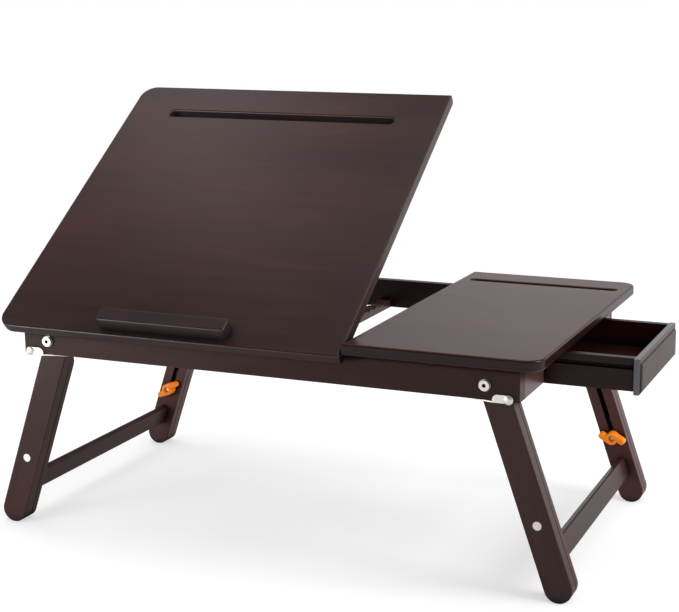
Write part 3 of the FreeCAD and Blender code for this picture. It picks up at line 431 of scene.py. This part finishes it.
def lacquered_wood(name, grain, offset, stains=ESPRESSO, gloss=(0.28, 0.35), sheen=0.3,
                   edges=None, fades=(), corners=0.04, worn_and_highlight=None):
    """Stained wood under satin lacquer, with its grain turned to run along a board.
    edges is (way of the broad face, painted colour of the edges); each of the fades is (axis, start,
    end, level); corners is what is left of the colour under the painted shade deep in a slot or
    corner; the last argument is (way of the broad face, colour of its rounded rim), and that rim colour
    is partly wear and partly a painted highlight."""
    made = bpy.data.materials.new(name)
    made.use_nodes = True
    tree = made.node_tree
    shader = tree.nodes["Principled BSDF"]
    vector = mapped(tree, grain, offset)
    staves = streaks(tree, vector, 4, 14, 2)
    figure = streaks(tree, vector, 7, 75, 3)
    lines = streaks(tree, vector, 40, 420, 4)
    tint = blend(tree, 0.45, staves, figure)
    tint = blend(tree, 0.22, tint, lines)
    colour = ramp(tree, tint, [(0.38, stains[0]), (0.50, stains[1]), (0.62, stains[2])])
    # The edges get a painted tone: darker on the fixed panel as painted shade, grey on the drawer's
    # front as a painted reflection.
    if edges:
        way, edge_tone = edges
        edge = add_math(tree, "SUBTRACT", 1, broad_share(tree, way))
        colour = mixed(tree, edge, colour, edge_tone)
    # The rounded rim is painted paler: partly wear, partly a painted highlight.
    if worn_and_highlight:
        way, rim_colour = worn_and_highlight
        share = broad_share(tree, way)
        rim = add_math(tree, "MULTIPLY", add_math(tree, "MULTIPLY", share, 4),
                       add_math(tree, "SUBTRACT", 1, share))
        colour = mixed(tree, rim, colour, rim_colour)
    # Sharp edges painted paler: partly wear, partly a painted highlight.
    edge_lightening = spread(tree, edge_wear_and_highlight(tree, edge_reach), 0, most_rubbed_and_highlight)
    colour = mixed(tree, edge_lightening, colour, RUBBED_AND_HIGHLIGHT)
    # The fades darken a board along one axis; on the panels and inside the back apron this is painted
    # shade.
    for fade in fades:
        colour = times(tree, colour, along_axis(tree, *fade))
    # Slots and inside corners: painted shade in the colour, and a dull lacquer.
    unshaded = openness(tree, corner_reach)
    tree.links.new(times(tree, colour, spread(tree, unshaded, corners, 1)), shader.inputs["Base Color"])
    satin = spread(tree, figure, *gloss)
    tree.links.new(blend(tree, unshaded, DULL, satin), shader.inputs["Roughness"])
    relief = add_node(tree, "ShaderNodeBump", Strength=0.06, Distance=0.0003)
    tree.links.new(lines, relief.inputs["Height"])
    tree.links.new(relief.outputs["Normal"], shader.inputs["Normal"])
    shader.inputs["Specular IOR Level"].default_value = sheen
    return made


def dress(node, material):
    """Gives a board or fitting from the frame its finish."""
    mesh = nodes[node].data
    mesh.materials.clear()
    mesh.materials.append(material)


# %% [markdown]
# ## Which way the grain runs
# A joiner cuts every board with the grain along its length, because wood is stiff and stable that way.
# So the long boards of the frame run left to right, the sides and rails run front to back, and the
# grain of a leg leans with the leg. The two panels are glued up from staves that run left to right.
# A few boards have a colour of their own. The stop bar is stained greyer, the drawer's front field
# darker, and the inside of the drawer nearly black. The fixed panel is stained redder and lighter, and
# the lighter part is painted light from above. The rims of the drawer's front are painted grey, a
# painted reflection, and the edges of the fixed panel darker, a painted shade. Both panels get darker
# towards their front edges and the tilting panel towards its right end: painted shade. The front apron
# gets darker towards its right end. The right apron, the back legs and, slightly, the left front leg
# are painted lighter: painted light. The inside of the back apron is painted nearly black, a painted
# shade. These values were tuned under the lamps above until each board's tone came out right, so a
# part of the rest may stand for light and not for stain.

# %% Dress the boards
BOARDS_ALONG_X = ["tilting_panel", "stop_bar", "fixed_panel", "front_apron", "back_apron",
                  "prop_crossbar", "side_rail_carriers", "runner_board_front", "runner_board_back",
                  "drawer_guide_front", "drawer_guide_back"]
BOARDS_ALONG_Y = ["left_apron", "right_apron_front_part", "right_apron_back_part", "drawer_divider",
                  "centre_rail", "side_rail", "prop_arm_left", "prop_arm_right", "stretcher_left",
                  "stretcher_right", "drawer_front", "drawer_front_field"]
DRAWER_INSIDE = ["drawer_side_front", "drawer_side_back", "drawer_back", "drawer_bottom"]

# Edge of the fixed panel, painted darker: painted shade.
PANEL_EDGE_SHADE = (0.018, 0.0040, 0.0032)
GREY_STAIN = ((0.018, 0.0095, 0.0088), (0.025, 0.0128, 0.0118), (0.034, 0.0165, 0.0150))
# Rims of the drawer's front, painted grey: a painted reflection.
DRAWER_EDGE_REFLECTION = (0.150, 0.148, 0.162)
# Rim colours, painted paler: partly wear, partly a painted highlight.
RIM_WEAR_AND_HIGHLIGHT = (0.110, 0.072, 0.064)
STOP_WEAR_AND_HIGHLIGHT = (0.070, 0.052, 0.046)
# The right apron's lighter stain is painted light.
RIGHT_APRON_PAINTED_LIGHT = {"stains": strength(ESPRESSO, 1.7), "sheen": 0.9}
back_low, back_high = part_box("back_apron")
OWN_WAY = {
    # Tilting panel: rim painted paler as wear and highlight; both fades are painted shade.
    "tilting_panel": {"worn_and_highlight": (broad_way("tilting_panel"), RIM_WEAR_AND_HIGHLIGHT),
                      "fades": (("X", -0.05, 0.09, 0.70), ("Y", -0.07, -0.15, 0.72))},
    # Fixed panel: stain partly painted light, edges darker as painted shade, painted shade to its
    # front.
    "fixed_panel": {"stains": TOP_STAIN_AND_LIGHT, "edges": (broad_way("fixed_panel"), PANEL_EDGE_SHADE),
                    "fades": (("Y", 0.05, -0.17, 0.75),)},
    # Stop bar: greyer stain; its rim painted paler as wear and as a painted highlight.
    "stop_bar": {"stains": GREY_STAIN, "gloss": (0.34, 0.42),
                 "worn_and_highlight": (broad_way("stop_bar"), STOP_WEAR_AND_HIGHLIGHT)},
    # Front apron: darker towards its right end, and less painted shade in its top corner.
    "front_apron": {"stains": strength(ESPRESSO, 1.1), "fades": (("X", -0.12, 0.08, 0.6),),
                    "sheen": 0.2, "corners": 0.55},
    # Back apron: its inside face is painted nearly black, a painted shade.
    "back_apron": {"fades": (("Y", back_high.y, back_low.y, 0.3),), "sheen": 0.12},
    "right_apron_front_part": RIGHT_APRON_PAINTED_LIGHT,
    "right_apron_back_part": RIGHT_APRON_PAINTED_LIGHT,
    # Drawer front and field: grey rims, a painted reflection.
    "drawer_front": {"edges": (broad_way("drawer_front"), DRAWER_EDGE_REFLECTION), "sheen": 0.2},
    "drawer_front_field": {"stains": strength(ESPRESSO, 0.75),
                           "edges": (broad_way("drawer_front_field"), DRAWER_EDGE_REFLECTION), "sheen": 0.12},
}
# The back legs and, slightly, the left front leg are painted lighter: painted light.
LEG_PAINTED_LIGHT = {"left_front": 1.15, "right_front": 1.0, "left_back": 1.8, "right_back": 1.7}
board_step = 0.37
for count, node in enumerate(BOARDS_ALONG_X + BOARDS_ALONG_Y):
    grain = ALONG_X if node in BOARDS_ALONG_X else ALONG_Y
    offset = (count * board_step, count * board_step, 0)
    dress(node, lacquered_wood("espresso_" + node, grain, offset, **OWN_WAY.get(node, {})))
for count, node in enumerate(DRAWER_INSIDE):
    offset = (0, count * board_step, 1)
    dress(node, lacquered_wood("stained_" + node, ALONG_X, offset, DEEP_STAIN,
                               gloss=(0.26, 0.36), sheen=0.22))
for side, way in (("left", -1), ("right", 1)):
    for ply, place in (("upper", 2), ("lower", 3)):
        for end in ("front", "back"):
            node = f"{ply}_leg_{side}_{end}"
            grain = (0, math.radians(90) + way * leg_lean, 0)
            offset = (place, len(end) * board_step, way)
            stains = strength(ESPRESSO, LEG_PAINTED_LIGHT[f"{side}_{end}"])
            dress(node, lacquered_wood("espresso_" + node, grain, offset, stains))
lacquers = [name for name in bpy.data.materials.keys() if name.startswith(("espresso_", "stained_"))]
print("lacquered boards:", len(lacquers))

# %% [markdown]
# ## Metal fittings
# The hinges, latches, washers and bolts are plated nickel, bright and slightly warm. The spacers and
# nuts of the leg pivots are plain zinc, cooler. Plating is never an even mirror: a fine cloudy noise in
# the roughness breaks up the reflection the way handling marks do.

# %% Metals
socket_reach = 0.003
socket_painted_shade = 0.08


def plated(name, colour, gloss):
    """A plated metal whose gloss varies in soft clouds, with painted shade down in sockets and round
    heads.
    """
    made = bpy.data.materials.new(name)
    made.use_nodes = True
    tree = made.node_tree
    shader = tree.nodes["Principled BSDF"]
    shader.inputs["Metallic"].default_value = 1.0
    vector = mapped(tree, ALONG_X, (0, 0, 0))
    clouds = streaks(tree, vector, 1, 420, 4)
    dull = tuple(0.90 * part for part in colour)
    plate = ramp(tree, clouds, [(0.35, dull), (0.65, colour)])
    # Painted shade: the colour darkens down in sockets and round the heads.
    unshaded = openness(tree, socket_reach)
    shade = spread(tree, unshaded, socket_painted_shade, 1)
    tree.links.new(times(tree, plate, shade), shader.inputs["Base Color"])
    tree.links.new(spread(tree, clouds, *gloss), shader.inputs["Roughness"])
    return made


nickel = plated("nickel_plate", (0.98, 0.93, 0.85), (0.42, 0.56))
zinc = plated("zinc_plate", (0.90, 0.90, 0.89), (0.34, 0.48))
for node in nodes:
    if "hinge" in node or "latch" in node or "bolts" in node or node == "pivot_washers":
        dress(node, nickel)
    if node in ("pivot_spacers", "pivot_nuts"):
        dress(node, zinc)
print("plated fittings:", sum(nodes[node].data.materials[0] in (nickel, zinc) for node in nodes))

# %% [markdown]
# ## Orange wing nuts
# They are moulded in a bright orange nylon. Nylon is a little translucent, so thin edges glow and the
# shaded side never goes grey: a small amount of subsurface light does this. A weak orange emission
# makes the nuts glow brighter than the lamps light them: painted light. Down in the hole of a nut the
# colour is darkened, a painted shade. The mould leaves a very fine pebbled skin.

# %% Orange nylon
orange = bpy.data.materials.new("orange_nylon")
orange.use_nodes = True
tree = orange.node_tree
shader = tree.nodes["Principled BSDF"]
vector = mapped(tree, ALONG_X, (0, 0, 0))
skin = streaks(tree, vector, 1, 900, 2)
tint = streaks(tree, vector, 1, 90, 2)
dye = ramp(tree, tint, [(0.3, (1.0, 0.235, 0.004)), (0.7, (1.0, 0.300, 0.010))])
# Painted shade: the orange darkens down in the hole and round the bolt end.
tree.links.new(times(tree, dye, spread(tree, openness(tree, socket_reach), 0.15, 1)),
               shader.inputs["Base Color"])
shader.inputs["Subsurface Weight"].default_value = 0.25
shader.inputs["Subsurface Radius"].default_value = (1.0, 0.35, 0.1)
shader.inputs["Subsurface Scale"].default_value = 0.002
# Painted light: a weak orange glow, though the nuts are no lamp.
shader.inputs["Emission Color"].default_value = (1.0, 0.22, 0.004, 1)
shader.inputs["Emission Strength"].default_value = 0.22
tree.links.new(spread(tree, skin, 0.30, 0.42), shader.inputs["Roughness"])
relief = add_node(tree, "ShaderNodeBump", Strength=0.1, Distance=0.0002)
tree.links.new(skin, relief.inputs["Height"])
tree.links.new(relief.outputs["Normal"], shader.inputs["Normal"])
for node in nodes:
    if node.startswith("wing_nut"):
        dress(node, orange)
print("wing nuts:", sum(node.startswith("wing_nut") for node in nodes))

# %% [markdown]
# ## Finish
# The colours are meant to come out as they are written, so the plain Standard view is used. The two

# %% Finish
scene.view_settings.view_transform = "Standard"
